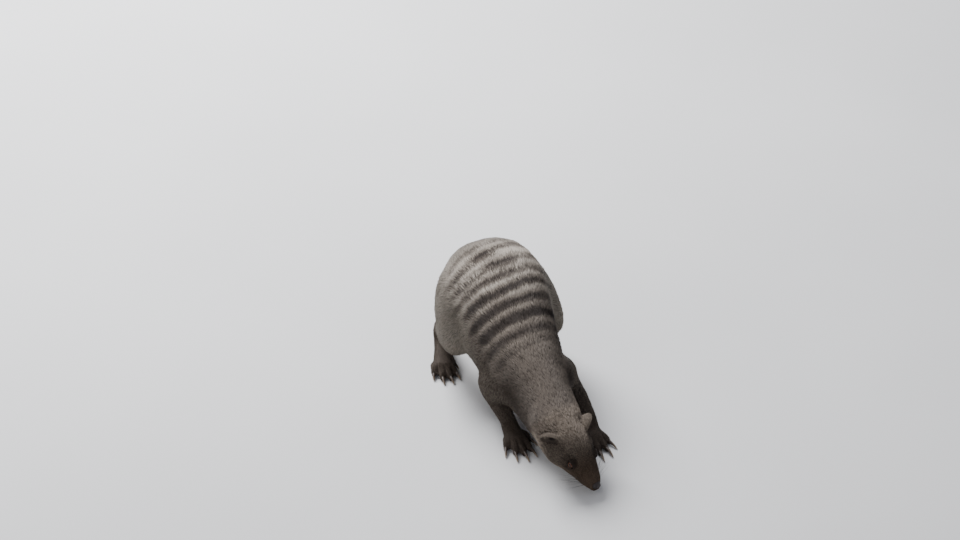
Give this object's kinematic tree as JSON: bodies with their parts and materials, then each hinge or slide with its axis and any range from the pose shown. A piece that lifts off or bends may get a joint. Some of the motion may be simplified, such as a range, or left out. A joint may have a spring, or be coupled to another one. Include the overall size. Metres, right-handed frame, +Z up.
{
  "type": "banded mongoose",
  "caption": "Life-size banded mongoose crouched low with its nose to the ground and one forepaw reaching, its rump raised and its tail curled on the floor.",
  "frame": {"origin": "the middle of the footprint, on the floor", "axes": "+Z up; the animal faces -Y; its left side is +X"},
  "size_m": [0.177, 0.4302, 0.1537],
  "materials": {
    "coat": "coarse grizzled grey-brown fur, with dark cross bands on the back",
    "dark_coat": "short dark brown fur",
    "eye": "wet, dark reddish-brown iris",
    "nose_leather": "bare, fine-grained and slightly moist",
    "claw": "horn, dull at the root and worn smooth at the point"
  },
  "bodies": {
    "root": {"abdomen": "coat", "chest": "coat", "claw_fore_left_fourth": "claw", "claw_fore_left_inner": "claw", "claw_fore_left_middle": "claw", "claw_fore_left_outer": "claw", "claw_fore_left_second": "claw", "claw_fore_right_fourth": "claw", "claw_fore_right_inner": "claw", "claw_fore_right_middle": "claw", "claw_fore_right_outer": "claw", "claw_fore_right_second": "claw", "claw_hind_left_fourth": "claw", "claw_hind_left_inner": "claw", "claw_hind_left_middle": "claw", "claw_hind_left_outer": "claw", "claw_hind_left_second": "claw", "claw_hind_right_fourth": "claw", "claw_hind_right_inner": "claw", "claw_hind_right_middle": "claw", "claw_hind_right_outer": "claw", "claw_hind_right_second": "claw", "ear_left": "coat", "ear_right": "coat", "eye_left": "eye", "eye_right": "eye", "forearm_left": "coat", "forearm_right": "coat", "forepaw_left": "dark_coat", "forepaw_right": "dark_coat", "head": "coat", "hind_foot_left": "dark_coat", "hind_foot_right": "dark_coat", "lower_jaw": "coat", "neck": "coat", "nose": "nose_leather", "rump": "coat", "shank_left": "coat", "shank_right": "coat", "tail_middle": "coat", "tail_root": "coat", "tail_tip": "dark_coat", "thigh_left": "coat", "thigh_right": "coat", "upper_arm_left": "coat", "upper_arm_right": "coat"}
  },
  "joints": []
}
